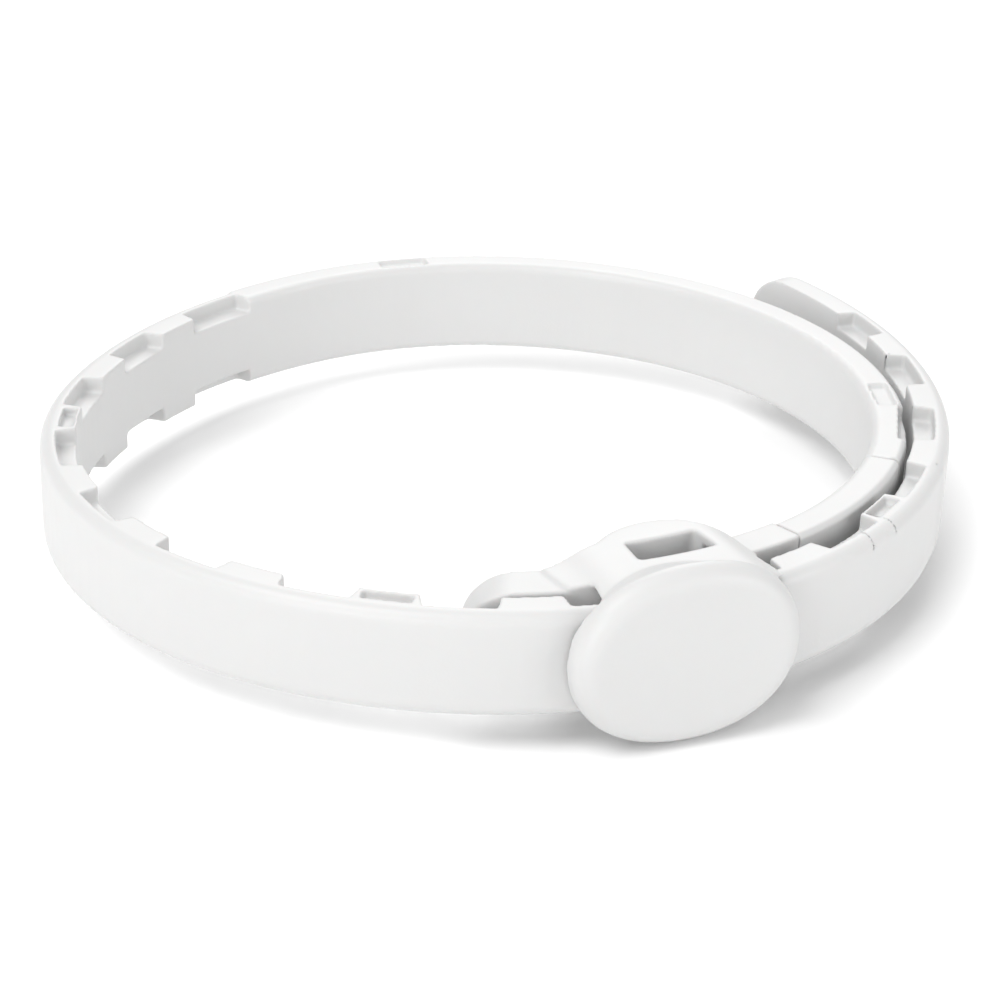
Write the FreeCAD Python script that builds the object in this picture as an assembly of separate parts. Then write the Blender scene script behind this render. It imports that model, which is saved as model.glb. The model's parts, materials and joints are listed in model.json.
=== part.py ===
import FreeCAD, Part
import math
import os

# Wrist strap: one toothed plastic band closed by a buckle with an oval head.
# Millimetres, +Z along the wrist, origin under the middle of the whole outline.

V = FreeCAD.Vector
UP = V(0, 0, 1)

# ---- driving dimensions ----
bandHeight = 7.0
bandThick = 2.44
rimThick = 1.09          # outer skin left behind the notches
notchDepth = 1.15        # how far a notch cuts in from the top or bottom edge
lugLength = 4.6          # at its root on the rim
lugDraft = 0.3           # each lug end leans in by this much at the inner face
outerRound = 0.85        # outer edges of the toothed part
innerRound = 0.6         # inner edges of the smooth part
outerChamfer = 0.3       # outer edges of the smooth part
tailNose, tongueNose = 3.3, 3.4            # ends rounded as seen from the side

# the strap's outer face in plan: tangent arcs, (radius, sweep in degrees), anticlockwise
pathStart = V(17.42, -22.66, 0)
pathHeading = 33.58
pathArcs = [(27.95, 184.54), (36.98, 39.70), (27.07, 74.38), (32.26, 95.10), (38.41, 64.80)]

# stations are distances along the outer face from the path's start
spliceStart, spliceEnd = 4.3, 18.4
toothStart = 95.6
lugMiddles = [103.6, 113.1, 122.6, 133.0, 142.5, 152.1, 161.3, 170.5, 180.1, 189.7,
              199.7, 209.7, 219.8, 229.7]
endBlockStart = 236.4
lugPockets = [122.6, 161.3, 199.7]
smoothPockets = [29.9, 80.2]
tailStart = 10           # index of the first lug that swings with the free tail
slit = 0.1               # between neighbouring tail links, at a notch web
hairline = 0.04          # between mouldings that butt together

# the buckle is set out about the centre of the arc that passes through it
archFaces = 296.5        # direction of the arch's middle line
headFaces = 292.5        # direction the oval faces
wall = 0.75              # above and below the strap
slide = 0.2              # clearance above and below the strap in the buckle
channelInner, channelOuter = 29.5, 32.5
bridgeInner, bridgeOuter = 28.4, 32.45
bridgeFirst, bridgeLast = -12.1, 9.5       # degrees either side of the arch's middle
windowInner, windowOuter = 25.7, 28.0
windowFirst, windowLast = -5.2, 5.7
latchFloor = 3.5         # the window and the latch's room both stop here
crownRadius, crownCentre = 5.8, 29.15
tongueInner, tongueOuter = 26.4, 29.4
tongueFirst, tongueLast = -27.7, -12.0
ovalHalfWide, ovalHalfHigh, ovalPower = 7.49, 5.97, 2.15
ovalFace, ovalBack = 33.7, 30.9
ovalAcross, ovalMiddle = 0.64, 3.73
rimRound = 1.3           # edge of the oval's face
coverSkin, faceSkin = 0.75, 0.65
fitGap = 0.05            # between the cover and the base it snaps onto
neckBack, neckShrink = 28.6, 2.0           # the oval narrows to this where it meets the window
lidThick = 0.3
latchTravel = 1.3

bottom, top = -slide - wall, bandHeight + slide + wall
# the arch and bridge slope down at each side: outer end, inner end, height at the outer end
leftSlope, rightSlope = (-7.9, -3.9, bandHeight + 0.25), (5.8, 3.0, bandHeight + 0.25)

# chip resistor standing in the arch, with the ground socket beside it
socketAt = V(26.3, 0.35, 0)
socketOuter, socketBore, socketTop, socketDepth = 1.8, 1.25, 2.6, 3.15
chipSpan = (27.0, 27.55, -4.65, -3.05)
chipLow, chipHigh, capLong = -0.45, 2.75, 0.5
tabLow, tabHigh = 2.4, 2.55
tabSpan = (-3.9, -3.1)
plateThick = 0.25
plateFirst, plateLast = 140, 204           # degrees round the crown
plateLow, plateHigh = 1.2, 5.8


# ---- the path of the strap ----
def pathRows():
    rows = []
    point, heading, station = pathStart, math.radians(pathHeading), 0.0
    for radius, sweep in pathArcs:
        centre = point + V(-math.sin(heading), math.cos(heading), 0) * radius
        rows.append((station, centre, radius, heading - math.pi / 2))
        station += radius * math.radians(sweep)
        heading += math.radians(sweep)
        point = centre + V(math.sin(heading), -math.cos(heading), 0) * radius
    return rows, station


rows, pathEnd = pathRows()
front = rows[3][1]       # centre of the arc that passes through the buckle


def rowAt(station):
    found = rows[0]
    for row in rows:
        if row[0] <= station:
            found = row
    return found


def pointAt(station, depth, row=None):
    start, centre, radius, angle = row or rowAt(station)
    turn = angle + (station - start) / radius
    return centre + V(math.cos(turn), math.sin(turn), 0) * (radius - depth)


def bandCurve(depth, first, last):
    edges = []
    for index, row in enumerate(rows):
        rowEnd = rows[index + 1][0] if index + 1 < len(rows) else pathEnd + 99
        begin = max(first, row[0]) if index else first
        finish = min(last, rowEnd)
        if finish - begin > 1e-6:
            middle = (begin + finish) / 2
            points = [pointAt(s, depth, row) for s in (begin, middle, finish)]
            edges.append(Part.Arc(*points).toShape())
    return edges


def prism(edges, low, high):
    face = Part.Face(Part.Wire(Part.__sortEdges__(edges)))
    face.translate(UP * low)
    return face.extrude(UP * (high - low))


def bandBar(outer, inner, first, last, low=0.0, high=bandHeight):
    near, far = bandCurve(outer, first, last), bandCurve(inner, first, last)
    ends = [Part.makeLine(pointAt(s, outer), pointAt(s, inner)) for s in (first, last)]
    return prism(near + far + ends, low, high)


def arcEdges(solid, depth):
    radii = [row[2] - depth for row in rows]
    found = []
    for edge in solid.Edges:
        if isinstance(edge.Curve, Part.Circle):
            if min(abs(edge.Curve.Radius - r) for r in radii) < 1e-3:
                found.append(edge)
    return found


# ---- strap ----
def notchCut(first, last):
    overrun = 1.0
    lean = lugDraft * (bandThick + overrun - rimThick) / (bandThick - rimThick)
    inner = [pointAt(first - lean, bandThick + overrun), pointAt(last + lean, bandThick + overrun)]
    outer = [pointAt(first, rimThick), pointAt(last, rimThick)]
    edges = bandCurve(rimThick, first, last)
    edges.append(Part.makeLine(outer[1], inner[1]))
    edges.append(Part.makeLine(inner[1], inner[0]))
    edges.append(Part.makeLine(inner[0], outer[0]))
    top = prism(edges, bandHeight - notchDepth, bandHeight + overrun)
    low = prism(edges, -overrun, notchDepth)
    return [top, low]


def notchSpans():
    spans = [(toothStart, lugMiddles[0] - lugLength / 2)]
    for left, right in zip(lugMiddles, lugMiddles[1:]):
        spans.append((left + lugLength / 2, right - lugLength / 2))
    spans.append((lugMiddles[-1] + lugLength / 2, endBlockStart))
    return spans


def edgePocket(station, size, depth):
    long, wide, deep = size
    box = Part.makeBox(wide, long, deep + 1, V(-wide / 2, -long / 2, bandHeight - deep))
    start, centre, radius, angle = rowAt(station)
    turn = angle + (station - start) / radius
    box.rotate(V(), UP, math.degrees(turn))
    box.translate(pointAt(station, depth))
    return box


def smoothBar(first, last):
    bar = bandBar(0, bandThick, first, last)
    bar = bar.makeFillet(innerRound, arcEdges(bar, bandThick))
    return bar.makeChamfer(outerChamfer, arcEdges(bar, 0))


def toothedBar(first, last):
    bar = bandBar(0, bandThick, first, last)
    return bar.makeFillet(outerRound, arcEdges(bar, 0))


def roundNose(bar, tip, radius):
    # rounds the two level edges of a bar's end, which makes the end a half circle seen from the side
    level = []
    for edge in bar.Edges:
        middle = edge.CenterOfMass
        flat = abs(edge.tangentAt(edge.FirstParameter).z) < 0.01
        if flat and isinstance(edge.Curve, Part.Line) and (V(middle.x, middle.y, 0) - tip).Length < bandThick:
            level.append(edge)
    return bar.makeFillet(radius, level)


def strapPieces():
    spans = notchSpans()
    cuts = [cut for span in spans for cut in notchCut(*span)]
    pockets = [edgePocket(s, (3.1, 0.95, 0.6), 1.75) for s in lugPockets]
    pockets += [edgePocket(s, (3.7, 1.3, 0.3), bandThick / 2) for s in smoothPockets]
    joints = [(spans[i][0] + spans[i][1]) / 2 for i in range(tailStart, len(spans))]
    pieces = {}
    band = smoothBar(spliceEnd + hairline, toothStart).fuse(toothedBar(toothStart, joints[0] - slit / 2))
    pieces["strap_band"] = band.cut(cuts + pockets)
    limits = joints + [pathEnd + slit / 2]
    for index in range(len(joints)):
        bar = bandBar(0, bandThick, limits[index] + slit / 2, limits[index + 1] - slit / 2)
        if index + 1 == len(joints):
            bar = roundNose(bar, pointAt(pathEnd, bandThick / 2, rows[-1]), tailNose)
        outerEdges = arcEdges(bar, 0)
        bar = bar.makeFillet(outerRound, outerEdges)
        pieces["tail_link_%d" % (index + 1)] = bar.cut(cuts + pockets)
    pieces["strap_splice"] = smoothBar(spliceStart, spliceEnd)
    return pieces, joints


# ---- buckle, drawn with X outward and Y along the strap, then turned into place ----
def placed(shape, faces=archFaces):
    shape = shape.copy()
    shape.rotate(V(), UP, faces)
    shape.translate(front)
    return shape


def polar(radius, degrees):
    turn = math.radians(degrees)
    return V(radius * math.cos(turn), radius * math.sin(turn), 0)


def sector(inner, outer, first, last, low, high):
    middle = (first + last) / 2
    edges = [Part.makeLine(polar(inner, turn), polar(outer, turn)) for turn in (first, last)]
    for radius in (inner, outer):
        edges.append(Part.Arc(polar(radius, first), polar(radius, middle), polar(radius, last)).toShape())
    return prism(edges, low, high)


def box(x0, x1, y0, y1, z0, z1):
    return Part.makeBox(x1 - x0, y1 - y0, z1 - z0, V(x0, y0, z0))


def slope(y0, z0, y1, z1):
    # two equal arcs, level at both ends
    middle = V(0, (y0 + y1) / 2, (z0 + z1) / 2)
    first, last = V(0, y0, z0), V(0, y1, z1)
    radius = ((y1 - y0) ** 2 + (z1 - z0) ** 2) / (4 * abs(z1 - z0))
    edges = []
    for end, other, sign in ((first, z1, 1), (last, z0, -1)):
        rise = math.copysign(radius, other - end.z)
        centre = end + V(0, 0, rise)
        between = (end + middle) / 2 - centre
        edges.append(Part.Arc(end, centre + between.normalize() * radius, middle).toShape())
    return edges


def profile(left, right, x0, x1):
    edges = []
    for low, high in ((left[2], top), (bandHeight - left[2], bottom)):
        edges += slope(left[0], low, left[1], high)
    for low, high in ((right[2], top), (bandHeight - right[2], bottom)):
        edges += slope(right[0], low, right[1], high)
    for z in (top, bottom):
        edges.append(Part.makeLine(V(0, left[1], z), V(0, right[1], z)))
    for end in (left, right):
        edges.append(Part.makeLine(V(0, end[0], end[2]), V(0, end[0], bandHeight - end[2])))
    face = Part.Face(Part.Wire(Part.__sortEdges__(edges)))
    face.translate(V(x0, 0, 0))
    return face.extrude(V(x1 - x0, 0, 0))


def crown(degrees):
    return V(crownCentre, 0, 0) - V(polar(crownRadius, degrees).x, -polar(crownRadius, degrees).y, 0)


def archBlock():
    left, right = -43, 27
    footLeft, footRight = V(25.5, -8.0, 0), V(26.1, 4.7, 0)
    start, finish = polar(channelInner, -15), polar(channelInner, 10)
    edges = [Part.Arc(crown(left), crown(0), crown(right)).toShape(),
             Part.makeLine(crown(right), footRight), Part.makeLine(footRight, finish),
             Part.Arc(finish, polar(channelInner, 0), start).toShape(),
             Part.makeLine(start, footLeft), Part.makeLine(footLeft, crown(left))]
    block = prism(edges, bottom, top)
    kinks = [e for e in block.Edges if abs(e.tangentAt(e.FirstParameter).z) > 0.99
             and e.CenterOfMass.x < 25.2 and abs(e.CenterOfMass.y) > 1]
    return block.makeFillet(2.2, kinks)


def tongue():
    arm = sector(tongueInner, tongueOuter, tongueFirst, tongueLast, 0, bandHeight)
    return roundNose(arm, polar((tongueInner + tongueOuter) / 2, tongueFirst), tongueNose)


def archAndBridge():
    body = archBlock().fuse(sector(bridgeInner, bridgeOuter, bridgeFirst, bridgeLast, bottom, top))
    return body.common(profile(leftSlope, rightSlope, 20, 40))


def ovalWire(shrink, x):
    wide, high = ovalHalfWide - shrink, ovalHalfHigh - shrink
    points = []
    for step in range(32):
        turn = 2 * math.pi * step / 32
        c, s = math.cos(turn), math.sin(turn)
        y = ovalAcross + wide * math.copysign(abs(c) ** (2 / ovalPower), c)
        z = ovalMiddle + high * math.copysign(abs(s) ** (2 / ovalPower), s)
        points.append(V(x, y, z))
    curve = Part.BSplineCurve()
    curve.interpolate(points, PeriodicFlag=True)
    return Part.Wire(curve.toShape())


def oval(shrink, back, face):
    return Part.Face(ovalWire(shrink, back)).extrude(V(face - back, 0, 0))


def strapSweep(radius, low, high):
    return Part.makeCylinder(radius, high - low, V(0, 0, low))


def headBase():
    core = oval(coverSkin + fitGap, ovalBack, ovalFace - faceSkin)
    neck = Part.makeLoft([ovalWire(0, channelOuter), ovalWire(neckShrink, neckBack)], True)
    neck = neck.common(strapSweep(bridgeOuter, -20, 20))
    return core.fuse(neck).cut(strapSweep(channelOuter, -slide, bandHeight + slide))


def headCover():
    shell = oval(0, ovalBack, ovalFace)
    rim = [e for e in shell.Edges if abs(e.CenterOfMass.x - ovalFace) < 1e-3]
    shell = shell.makeFillet(rimRound, rim)
    shell = shell.cut(oval(coverSkin, ovalBack - 1, ovalFace - faceSkin + fitGap))
    return placed(shell.cut(strapSweep(channelOuter, -20, 20)), headFaces)


def post(radius, low, high):
    return Part.makeCylinder(radius, high - low, socketAt + UP * low)


def skinPlate(thick):
    plate = sector(crownRadius - plateThick, crownRadius - plateThick + thick, plateFirst, plateLast,
                   plateLow, plateHigh)
    plate.translate(V(crownCentre, 0, 0))
    return plate.mirror(V(), V(0, 1, 0))


def lidBlank(low):
    return box(25.6, 28.7, -5.6, 0, low, bottom + lidThick)


def electronicsRoom():
    roof = bottom + lidThick - 0.01
    pocket = box(25.9, 28.6, -5.3, -2.4, roof, chipHigh + fitGap)
    groove = box(26.5, 27.5, -2.5, 0, roof, -0.4)
    slot = box(23.5, 26.0, tabSpan[0], tabSpan[1], tabLow - 0.02, tabHigh + 0.02)
    return [lidBlank(bottom - 1), pocket, groove, post(socketOuter, bottom - 1, socketTop), slot]


def buckleCage():
    body = placed(archAndBridge().fuse(tongue()))
    body = body.fuse(bandBar(0, bandThick, -0.5, spliceStart - hairline))
    body = body.fuse(placed(headBase(), headFaces))
    window = sector(windowInner, windowOuter, windowFirst, windowLast, latchFloor, top + 3)
    latchRoom = sector(26.6, channelInner + 0.3, -5.8, 6.5, latchFloor, bandHeight + slide)
    channel = sector(channelInner, channelOuter, -60, 60, -slide, bandHeight + slide)
    rooms = [window, latchRoom, channel, skinPlate(2)] + electronicsRoom()
    return body.cut([placed(room) for room in rooms])


def latch():
    beam = sector(28.1, 29.35, -5.0, 5.6, 3.65, 7.0)
    tooth = sector(29.2, 30.85, 2.5, 5.4, 6.1, 6.95)
    return placed(beam.fuse(tooth))


def latchSpring():
    leaf = V(0.12, 0, 0)
    start, middle, end = V(27.95, -2.0, 0), V(26.78, 0.3, 0), V(27.93, 2.6, 0)
    outline = Part.makePolygon([start, middle, end, end - leaf, middle - leaf, start - leaf, start])
    return placed(Part.Face(outline).extrude(UP * 0.9).translated(UP * 3.7))


def smallPieces():
    pieces = {}
    tab = box(24.6, chipSpan[0], tabSpan[0], tabSpan[1], tabLow, tabHigh)
    pieces["skin_plate"] = placed(skinPlate(plateThick).fuse(tab))
    pieces["resistor_body"] = placed(box(*chipSpan, chipLow + capLong, chipHigh - capLong))
    pieces["resistor_cap_upper"] = placed(box(*chipSpan, chipHigh - capLong, chipHigh))
    pieces["resistor_cap_lower"] = placed(box(*chipSpan, chipLow, chipLow + capLong))
    link = box(26.6, 27.4, -4.5, 0, chipLow - 0.15, chipLow)
    pieces["ground_link"] = placed(link.cut(post(socketOuter, -5, 5)))
    cup = post(socketOuter, bottom, socketTop)
    pieces["ground_socket"] = placed(cup.cut(post(socketBore, bottom - 1, bottom + socketDepth)))
    pieces["pocket_lid"] = placed(lidBlank(bottom).cut(post(socketOuter, -5, 5)))
    return pieces


def main():
    pieces, joints = strapPieces()
    pieces["buckle_cage"] = buckleCage()
    pieces["head_cover"] = headCover()
    pieces["latch"] = latch()
    pieces["latch_spring"] = latchSpring()
    pieces.update(smallPieces())
    os.makedirs("parts", exist_ok=True)
    whole = Part.makeCompound(list(pieces.values())).optimalBoundingBox(False)
    toOrigin = V(-whole.Center.x, -whole.Center.y, -whole.ZMin)
    for name, shape in pieces.items():
        solid = shape.Solids[0]
        solid.translate(toOrigin)
        solid.exportStep("parts/%s.step" % name)
        print(name, len(shape.Solids), round(solid.Volume, 2), solid.isValid())
    for station in joints:
        print("hinge", pointAt(station, 0) + toOrigin)
    print("buckle centre", front + toOrigin, "size", whole.XLength, whole.YLength, whole.ZLength)


main()
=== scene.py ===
import bpy
import json
import math
from mathutils import Matrix, Vector
from mathutils.bvhtree import BVHTree


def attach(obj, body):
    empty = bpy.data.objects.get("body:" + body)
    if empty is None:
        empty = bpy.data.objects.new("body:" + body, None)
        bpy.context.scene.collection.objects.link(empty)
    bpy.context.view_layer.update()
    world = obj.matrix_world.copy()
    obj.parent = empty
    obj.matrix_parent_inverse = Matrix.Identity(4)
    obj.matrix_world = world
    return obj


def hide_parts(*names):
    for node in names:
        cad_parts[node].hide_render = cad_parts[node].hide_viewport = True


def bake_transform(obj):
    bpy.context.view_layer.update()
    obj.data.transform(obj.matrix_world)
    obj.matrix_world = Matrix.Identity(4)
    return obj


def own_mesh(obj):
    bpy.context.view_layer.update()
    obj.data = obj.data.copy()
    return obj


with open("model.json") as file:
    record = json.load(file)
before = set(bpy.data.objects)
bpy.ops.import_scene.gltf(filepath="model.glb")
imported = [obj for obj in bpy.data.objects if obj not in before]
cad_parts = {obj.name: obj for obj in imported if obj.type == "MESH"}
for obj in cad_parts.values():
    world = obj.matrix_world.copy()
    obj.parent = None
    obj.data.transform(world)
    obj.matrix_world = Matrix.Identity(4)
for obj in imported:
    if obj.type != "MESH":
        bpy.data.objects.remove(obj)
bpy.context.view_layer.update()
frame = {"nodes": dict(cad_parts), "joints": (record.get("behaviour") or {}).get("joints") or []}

nodes = frame["nodes"]
scene = bpy.context.scene
mergeDistance = 0.000002     # CAD corners closer than this are one corner
strapReach = 0.009           # nothing of one strap length is farther than this from its hinge


def newGroup(name, inputs, outputs):
    group = bpy.data.node_groups.new(name, "ShaderNodeTree")
    for label, kind, value in inputs:
        socket = group.interface.new_socket(label, in_out="INPUT", socket_type=kind)
        socket.default_value = value
    for label, kind in outputs:
        group.interface.new_socket(label, in_out="OUTPUT", socket_type=kind)
    return group, group.nodes.new("NodeGroupInput"), group.nodes.new("NodeGroupOutput")


def addNode(tree, kind, **values):
    node = tree.nodes.new(kind)
    for name, value in values.items():
        setattr(node, name, value)
    return node


def mathNode(tree, operation, first, second=None, clamp=False):
    node = addNode(tree, "ShaderNodeMath", operation=operation, use_clamp=clamp)
    for index, value in enumerate((first, second)):
        if value is None:
            continue
        if isinstance(value, (int, float)):
            node.inputs[index].default_value = value
        else:
            tree.links.new(value, node.inputs[index])
    return node.outputs[0]


# moulded plastic: cloudy tone, fine sparked grain, faint flow marks and small scuffs
def makeMouldedGroup():
    group, inside, outside = newGroup(
        "mouldedSurface",
        [("Base", "NodeSocketColor", (0.8, 0.8, 0.8, 1)), ("Shade", "NodeSocketColor", (0.7, 0.7, 0.7, 1)),
         ("Grain Scale", "NodeSocketFloat", 5000.0), ("Cloud Scale", "NodeSocketFloat", 90.0),
         ("Tone Amount", "NodeSocketFloat", 0.3), ("Rough Low", "NodeSocketFloat", 0.35),
         ("Rough High", "NodeSocketFloat", 0.5)],
        [("Color", "NodeSocketColor"), ("Roughness", "NodeSocketFloat"), ("Height", "NodeSocketFloat")])
    place = addNode(group, "ShaderNodeTexCoord")
    cloud = addNode(group, "ShaderNodeTexNoise")
    cloud.inputs["Detail"].default_value = 5.0
    cloud.inputs["Roughness"].default_value = 0.6
    grain = addNode(group, "ShaderNodeTexNoise")
    grain.inputs["Detail"].default_value = 2.0
    speck = addNode(group, "ShaderNodeTexVoronoi")
    for node, socket in ((cloud, "Cloud Scale"), (grain, "Grain Scale"), (speck, "Grain Scale")):
        group.links.new(place.outputs["Object"], node.inputs["Vector"])
        group.links.new(inside.outputs[socket], node.inputs["Scale"])
    tone = mathNode(group, "MULTIPLY", cloud.outputs["Fac"], inside.outputs["Tone Amount"], clamp=True)
    mix = addNode(group, "ShaderNodeMix", data_type="RGBA")
    group.links.new(tone, mix.inputs["Factor"])
    group.links.new(inside.outputs["Base"], mix.inputs["A"])
    group.links.new(inside.outputs["Shade"], mix.inputs["B"])
    group.links.new(mix.outputs["Result"], outside.inputs["Color"])
    rough = addNode(group, "ShaderNodeMapRange")
    group.links.new(cloud.outputs["Fac"], rough.inputs["Value"])
    group.links.new(inside.outputs["Rough Low"], rough.inputs["To Min"])
    group.links.new(inside.outputs["Rough High"], rough.inputs["To Max"])
    group.links.new(rough.outputs["Result"], outside.inputs["Roughness"])
    fine = mathNode(group, "ADD", mathNode(group, "MULTIPLY", grain.outputs["Fac"], 0.7),
                    mathNode(group, "MULTIPLY", speck.outputs["Distance"], 0.3))
    group.links.new(fine, outside.inputs["Height"])
    return group


# metal: fine brushing along one axis with cloudy dulling
def makeMetalGroup():
    group, inside, outside = newGroup(
        "brushedSurface",
        [("Base", "NodeSocketColor", (0.6, 0.6, 0.6, 1)), ("Shade", "NodeSocketColor", (0.4, 0.4, 0.4, 1)),
         ("Brush Scale", "NodeSocketFloat", 900.0), ("Rough Low", "NodeSocketFloat", 0.25),
         ("Rough High", "NodeSocketFloat", 0.45)],
        [("Color", "NodeSocketColor"), ("Roughness", "NodeSocketFloat"), ("Height", "NodeSocketFloat")])
    place = addNode(group, "ShaderNodeTexCoord")
    stretch = addNode(group, "ShaderNodeMapping")
    stretch.inputs["Scale"].default_value = (1.0, 1.0, 14.0)
    group.links.new(place.outputs["Object"], stretch.inputs["Vector"])
    brush = addNode(group, "ShaderNodeTexNoise")
    brush.inputs["Detail"].default_value = 3.0
    group.links.new(stretch.outputs["Vector"], brush.inputs["Vector"])
    group.links.new(inside.outputs["Brush Scale"], brush.inputs["Scale"])
    mix = addNode(group, "ShaderNodeMix", data_type="RGBA")
    group.links.new(brush.outputs["Fac"], mix.inputs["Factor"])
    group.links.new(inside.outputs["Base"], mix.inputs["A"])
    group.links.new(inside.outputs["Shade"], mix.inputs["B"])
    group.links.new(mix.outputs["Result"], outside.inputs["Color"])
    rough = addNode(group, "ShaderNodeMapRange")
    group.links.new(brush.outputs["Fac"], rough.inputs["Value"])
    group.links.new(inside.outputs["Rough Low"], rough.inputs["To Min"])
    group.links.new(inside.outputs["Rough High"], rough.inputs["To Max"])
    group.links.new(rough.outputs["Result"], outside.inputs["Roughness"])
    group.links.new(brush.outputs["Fac"], outside.inputs["Height"])
    return group


mouldedGroup = makeMouldedGroup()
metalGroup = makeMetalGroup()


def makeMaterial(name, group, settings, shader, bump):
    material = bpy.data.materials.new(name)
    material.use_nodes = True
    tree = material.node_tree
    surface = tree.nodes["Principled BSDF"]
    effect = addNode(tree, "ShaderNodeGroup", node_tree=group)
    for label, value in settings.items():
        effect.inputs[label].default_value = value
    for label, value in shader.items():
        surface.inputs[label].default_value = value
    relief = addNode(tree, "ShaderNodeBump")
    relief.inputs["Strength"].default_value, relief.inputs["Distance"].default_value = bump
    tree.links.new(effect.outputs["Color"], surface.inputs["Base Color"])
    tree.links.new(effect.outputs["Roughness"], surface.inputs["Roughness"])
    tree.links.new(effect.outputs["Height"], relief.inputs["Height"])
    tree.links.new(relief.outputs["Normal"], surface.inputs["Normal"])
    return material


strapLook = {
    "Base": (0.63, 0.63, 0.627, 1), "Shade": (0.575, 0.575, 0.572, 1), "Grain Scale": 5200.0,
    "Cloud Scale": 110.0, "Tone Amount": 0.35, "Rough Low": 0.36, "Rough High": 0.5}
buckleLook = dict(strapLook, **{"Base": (0.625, 0.625, 0.622, 1), "Cloud Scale": 140.0})
coverLook = dict(
    strapLook, **{"Base": (0.63, 0.63, 0.627, 1), "Grain Scale": 4200.0, "Rough Low": 0.42,
                  "Rough High": 0.55})
plasticShader = {"IOR": 1.48, "Subsurface Weight": 0.04, "Subsurface Scale": 0.0008, "Coat Weight": 0.0}
strapPlastic = makeMaterial("strapPlastic", mouldedGroup, strapLook, plasticShader, (0.25, 0.00003))
bucklePlastic = makeMaterial("bucklePlastic", mouldedGroup, buckleLook, plasticShader, (0.25, 0.00003))
coverPlastic = makeMaterial("coverPlastic", mouldedGroup, coverLook, plasticShader, (0.35, 0.00003))
ceramicBlack = makeMaterial(
    "ceramicBlack", mouldedGroup,
    {"Base": (0.02, 0.02, 0.022, 1), "Shade": (0.05, 0.05, 0.05, 1), "Grain Scale": 9000.0,
     "Cloud Scale": 900.0, "Tone Amount": 0.5, "Rough Low": 0.4, "Rough High": 0.6}, {"IOR": 1.5},
    (0.3, 0.00002))
skinSteel = makeMaterial(
    "skinSteel", metalGroup,
    {"Base": (0.62, 0.62, 0.61, 1), "Shade": (0.5, 0.5, 0.5, 1), "Brush Scale": 1500.0}, {"Metallic": 1.0},
    (0.2, 0.00002))
tinnedMetal = makeMaterial(
    "tinnedMetal", metalGroup,
    {"Base": (0.72, 0.72, 0.7, 1), "Shade": (0.6, 0.6, 0.6, 1), "Brush Scale": 2500.0,
     "Rough Low": 0.35, "Rough High": 0.6}, {"Metallic": 1.0}, (0.2, 0.00002))

finishes = {
    "strap_band": strapPlastic, "strap_splice": strapPlastic, "buckle_cage": bucklePlastic,
    "head_cover": coverPlastic, "latch": bucklePlastic, "latch_spring": skinSteel, "skin_plate": skinSteel,
    "resistor_body": ceramicBlack, "resistor_cap_upper": tinnedMetal, "resistor_cap_lower": tinnedMetal,
    "ground_link": tinnedMetal, "ground_socket": skinSteel, "pocket_lid": bucklePlastic}
for name, node in nodes.items():
    node.data.materials.clear()
    node.data.materials.append(finishes.get(name, strapPlastic))
print("materials done")


def selectOnly(*chosen):
    bpy.ops.object.select_all(action="DESELECT")
    for piece in chosen:
        piece.select_set(True)
    bpy.context.view_layer.objects.active = chosen[0]


# a copy of one or more nodes as one merged mesh, to be reworked by hand
def copyOf(name, material, *sources):
    copies = []
    for source in sources:
        twin = bpy.data.objects.new(name, nodes[source].data.copy())
        scene.collection.objects.link(twin)
        copies.append(twin)
    selectOnly(*copies)
    if len(copies) > 1:
        bpy.ops.object.join()
    piece = bpy.context.object
    piece.name = name
    piece.data.materials.clear()
    piece.data.materials.append(material)
    for layer in ("custom_normal", "sharp_edge", "sharp_face"):
        if layer in piece.data.attributes:
            piece.data.attributes.remove(piece.data.attributes[layer])
    bpy.ops.object.mode_set(mode="EDIT")
    bpy.ops.mesh.select_all(action="SELECT")
    bpy.ops.mesh.remove_doubles(threshold=mergeDistance)
    bpy.ops.object.mode_set(mode="OBJECT")
    return piece


# selects the vertices that lie in one flat slice across the strap
def selectSlice(piece, centre, along, reach):
    selectOnly(piece)
    bpy.ops.object.mode_set(mode="EDIT")
    bpy.ops.mesh.select_mode(type="VERT")
    bpy.ops.mesh.select_all(action="DESELECT")
    bpy.ops.object.mode_set(mode="OBJECT")
    for vertex in piece.data.vertices:
        offset = vertex.co - centre
        vertex.select = abs(offset.dot(along)) < reach and offset.length < strapReach
    bpy.ops.object.mode_set(mode="EDIT")


# fuses what overlaps into one skin and rounds every corner of it
def meltEdges(piece, sizes):
    selectOnly(piece)
    melt = piece.modifiers.new("melt", "REMESH")
    melt.mode = "VOXEL"
    melt.voxel_size = sizes["voxel"]
    bpy.ops.object.modifier_apply(modifier="melt")
    ease = piece.modifiers.new("ease", "SMOOTH")
    ease.factor = sizes["smoothFactor"]
    ease.iterations = sizes["smoothSteps"]
    bpy.ops.object.modifier_apply(modifier="ease")
    thin = piece.modifiers.new("thin", "DECIMATE")
    thin.ratio = sizes["keepShare"]
    bpy.ops.object.modifier_apply(modifier="thin")
    bpy.ops.object.shade_smooth_by_angle(angle=math.radians(sizes["smooth"]))
    print(piece.name, "faces", len(piece.data.polygons))


# where the free tail bends, and which way the strap runs there
hinges = [Vector(joint["pos_m"]) for joint in frame["joints"] if joint["type"] == "hinge"]
chords = [(after - before).normalized() for before, after in zip(hinges, hinges[1:])]


def turned(direction, degrees):
    return Matrix.Rotation(math.radians(degrees), 3, "Z") @ direction


def strapTangents():
    turns = [math.degrees(before.angle(after)) for before, after in zip(chords, chords[1:])]
    tangents = [turned(chords[0], -turns[0] / 2)]
    for chord, turn in zip(chords, turns + turns[-1:]):
        tangents.append(turned(chord, turn / 2))
    return tangents


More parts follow.
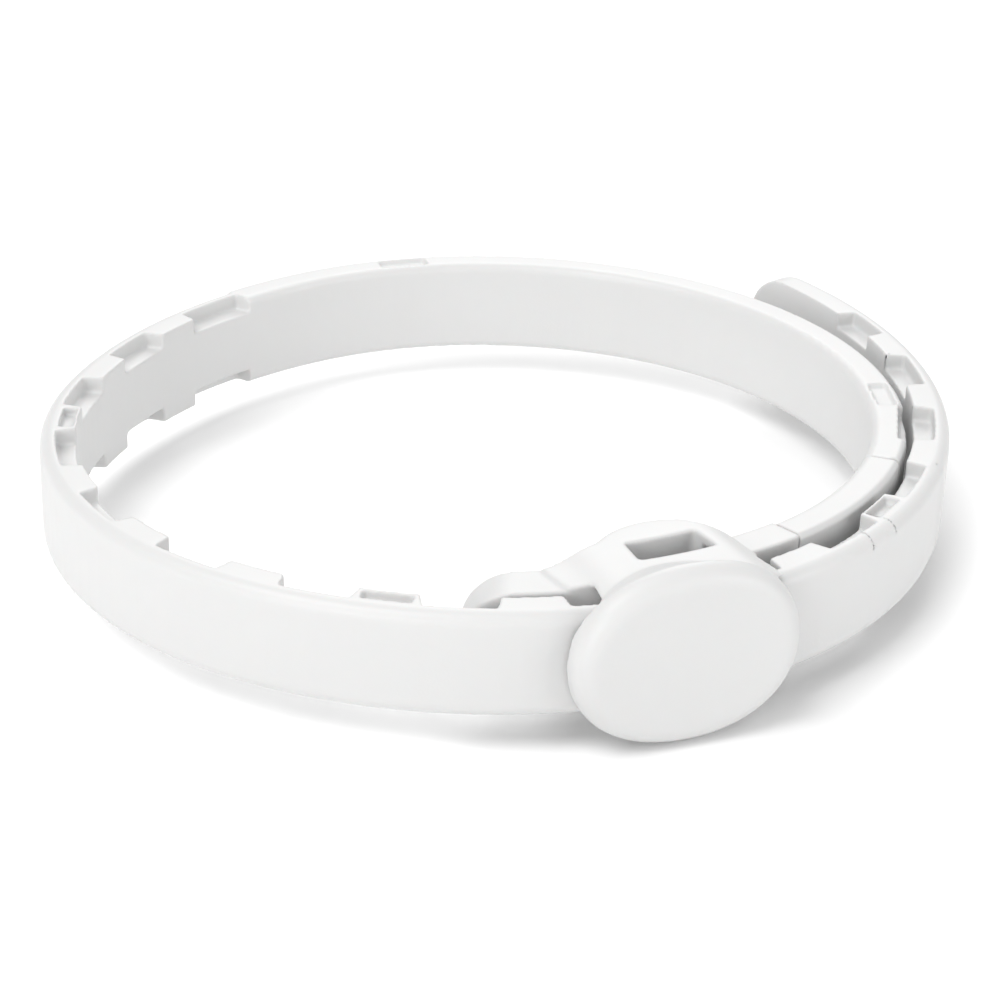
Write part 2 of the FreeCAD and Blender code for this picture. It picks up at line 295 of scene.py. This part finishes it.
tangents = strapTangents()
strapSizes = {
    "voxel": 0.00013, "smoothSteps": 4, "smoothFactor": 0.5, "smooth": 60, "keepShare": 0.3,
    "endReach": 0.0001,
    "overlap": 0.0002,        # each link is drawn this far into the one before, so they fuse
    "near": 0.0002,           # skin within this of a link belongs to it
    "bendReach": 0.0024,      # the web between two lugs gives this far either side of a hinge
    "bandPast": 0.0006,       # the band runs this far past the first hinge
    "cutBefore": 0.00155}     # the tail's pieces meet this far short of a lug's middle, clear of its pocket
spliceSizes = dict(strapSizes, voxel=0.00009, smoothSteps=3)
bandEnd = hinges[0] + tangents[0] * strapSizes["bandPast"]
linkNames = ["tail_link_%d" % (index + 1) for index in range(len(hinges))]


# the whole toothed strap as one skin: its pieces are cut from this, so no joint shows
def makeSkin():
    parts = [copyOf("skin", strapPlastic, "strap_band")]
    for name, hinge, tangent in zip(linkNames, hinges, tangents):
        part = copyOf("skinLink", strapPlastic, name)
        selectSlice(part, hinge, tangent, strapSizes["endReach"])
        bpy.ops.transform.translate(value=tangent * -strapSizes["overlap"])
        bpy.ops.object.mode_set(mode="OBJECT")
        parts.append(part)
    selectOnly(*parts)
    bpy.ops.object.join()
    skin = bpy.context.object
    meltEdges(skin, strapSizes)
    return skin


def shadeLike(piece, skin):
    selectOnly(piece)
    match = piece.modifiers.new("match", "DATA_TRANSFER")
    match.object = skin
    match.use_loop_data = True
    match.data_types_loops = {"CUSTOM_NORMAL"}
    match.loop_mapping = "POLYINTERP_NEAREST"
    bpy.ops.object.modifier_apply(modifier="match")


# a copy of the skin with the faces close to the named links selected, or all the others
def skinNear(name, skin, links, others):
    piece = bpy.data.objects.new(name, skin.data.copy())
    scene.collection.objects.link(piece)
    selectOnly(piece)
    bpy.ops.object.mode_set(mode="EDIT")
    bpy.ops.mesh.select_mode(type="FACE")
    bpy.ops.mesh.select_all(action="DESELECT")
    bpy.ops.object.mode_set(mode="OBJECT")
    trees = []
    for link in links:
        mesh = nodes[link].data
        corners = [vertex.co for vertex in mesh.vertices]
        trees.append(BVHTree.FromPolygons(corners, [face.vertices for face in mesh.polygons]))
    close = [any(tree.find_nearest(vertex.co, strapSizes["near"])[0] for tree in trees)
             for vertex in piece.data.vertices]
    for face in piece.data.polygons:      # by corners, as flat areas have faces longer than a link's reach
        face.select = any(close[index] for index in face.vertices) != others
    bpy.ops.object.mode_set(mode="EDIT")
    return piece


def trim(centre, along, clearAhead):
    bpy.ops.mesh.bisect(plane_co=centre, plane_no=along, use_fill=True, clear_outer=clearAhead,
                        clear_inner=not clearAhead)


def makeStrap(skin):
    band = skinNear("strap", skin, linkNames, False)
    trim(bandEnd, tangents[0], True)
    bpy.ops.object.mode_set(mode="OBJECT")
    shadeLike(band, skin)
    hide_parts("strap_band")
    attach(band, "strap")
    splice = copyOf("splice", strapPlastic, "strap_splice")
    meltEdges(splice, spliceSizes)
    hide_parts("strap_splice")
    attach(splice, "strap")


# the tail is one moulding that bends at the web between lugs: each piece is cut from it, running from lug
# to lug
def makeTail(skin):
    cuts = [(bandEnd, tangents[0])]
    for hinge, following, chord in zip(hinges, hinges[1:], chords):
        cuts.append(((hinge + following) / 2 - chord * strapSizes["cutBefore"], chord))
    for index, (hinge, tangent) in enumerate(zip(hinges, tangents)):
        number = index + 1
        piece = skinNear("tail_%d_skin" % number, skin, linkNames[max(index - 1, 0):number], True)
        bpy.ops.mesh.delete(type="FACE")
        bpy.ops.mesh.select_all(action="SELECT")
        trim(*cuts[index], False)
        if number < len(hinges):
            bpy.ops.mesh.select_all(action="SELECT")
            trim(*cuts[number], True)
        bpy.ops.object.mode_set(mode="OBJECT")
        shadeLike(piece, skin)
        print(piece.name, "faces", len(piece.data.polygons))
        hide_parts(linkNames[index])
        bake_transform(piece)


skin = makeSkin()
makeStrap(skin)
makeTail(skin)
bpy.data.objects.remove(skin)
print("strap and tail done")

buckleSizes = {"voxel": 0.000115, "smoothSteps": 12, "smoothFactor": 0.5, "smooth": 60, "keepShare": 0.45}


# the buckle is one flowing moulding: its base and cover are fused, and their corners eased
def makeBuckle():
    piece = copyOf("buckle", bucklePlastic, "buckle_cage", "head_cover")
    meltEdges(piece, buckleSizes)
    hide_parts("buckle_cage", "head_cover")
    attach(piece, "strap")


makeBuckle()
print("buckle done")


springSizes = {"leaf": 0.00012, "smooth": 40}


# the leaf spring gives way as the latch slides, down to its own sheet thickness; here it is a smooth-shaded
# copy that rides with the strap
def makeSpring():
    spring = copyOf("spring", skinSteel, "latch_spring")
    bpy.ops.object.shade_smooth_by_angle(angle=math.radians(springSizes["smooth"]))
    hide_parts("latch_spring")
    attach(spring, "strap")
    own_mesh(spring)


makeSpring()
print("spring done")


floorSettings = {"size": 4.0, "drop": 0.0002, "tone": 0.97, "roughness": 0.9, "shine": 0.1}


def makeStage():
    bpy.ops.object.select_all(action="DESELECT")
    bpy.ops.mesh.primitive_plane_add(size=floorSettings["size"], location=(0, 0, -floorSettings["drop"]))
    floor = bpy.context.object
    floor.name = "floor"
    look = bpy.data.materials.new("floorPaper")
    look.use_nodes = True
    surface = look.node_tree.nodes["Principled BSDF"]
    surface.inputs["Base Color"].default_value = (*[floorSettings["tone"]] * 3, 1)
    surface.inputs["Roughness"].default_value = floorSettings["roughness"]
    surface.inputs["Specular IOR Level"].default_value = floorSettings["shine"]
    floor.data.materials.append(look)


lightRig = [
    # name, place, size, watts
    ("keyLight", (-0.35, -0.30, 0.75), 0.55, 4.1),
    ("sideLight", (-0.42, -0.74, 0.24), 0.35, 1.9),
    ("fillLight", (0.72, -0.30, 0.22), 0.5, 1.9),
    ("backLight", (0.05, 0.65, 0.55), 0.6, 2.9)]
roomLight = 0.56


def makeLights():
    for name, place, size, watts in lightRig:
        data = bpy.data.lights.new(name, "AREA")
        data.shape = "DISK"
        data.size = size
        data.energy = watts
        lamp = bpy.data.objects.new(name, data)
        scene.collection.objects.link(lamp)
        lamp.location = place
        lamp.rotation_euler = (-Vector(place)).to_track_quat("-Z", "Y").to_euler()
    world = bpy.data.worlds.new("paleRoom")
    scene.world = world
    world.use_nodes = True
    sky = world.node_tree.nodes["Background"]
    sky.inputs["Color"].default_value = (1, 1, 1, 1)
    sky.inputs["Strength"].default_value = roomLight


cameraSettings = {
    "aim": (0.0000138, 0.0015817, 0.0017046), "distance": 0.182192, "elevation": 25.712, "roll": 1.806,
    "lens": 93.02, "sensor": 36.0, "near": 0.01}


def makeCamera():
    data = bpy.data.cameras.new("camera")
    data.lens = cameraSettings["lens"]
    data.sensor_width = cameraSettings["sensor"]
    data.clip_start = cameraSettings["near"]
    camera = bpy.data.objects.new("camera", data)
    scene.collection.objects.link(camera)
    tilt, roll = math.radians(cameraSettings["elevation"]), math.radians(cameraSettings["roll"])
    back = Vector((0, -math.cos(tilt), math.sin(tilt)))
    right = Vector((1, 0, 0))
    up = back.cross(right)
    across = right * math.cos(roll) + up * math.sin(roll)
    upright = up * math.cos(roll) - right * math.sin(roll)
    place = Matrix((across, upright, back)).transposed().to_4x4()
    place.translation = Vector(cameraSettings["aim"]) + back * cameraSettings["distance"]
    camera.matrix_world = place
    scene.camera = camera


makeStage()
makeLights()
makeCamera()
scene.view_settings.view_transform = "Standard"
print("stage done")
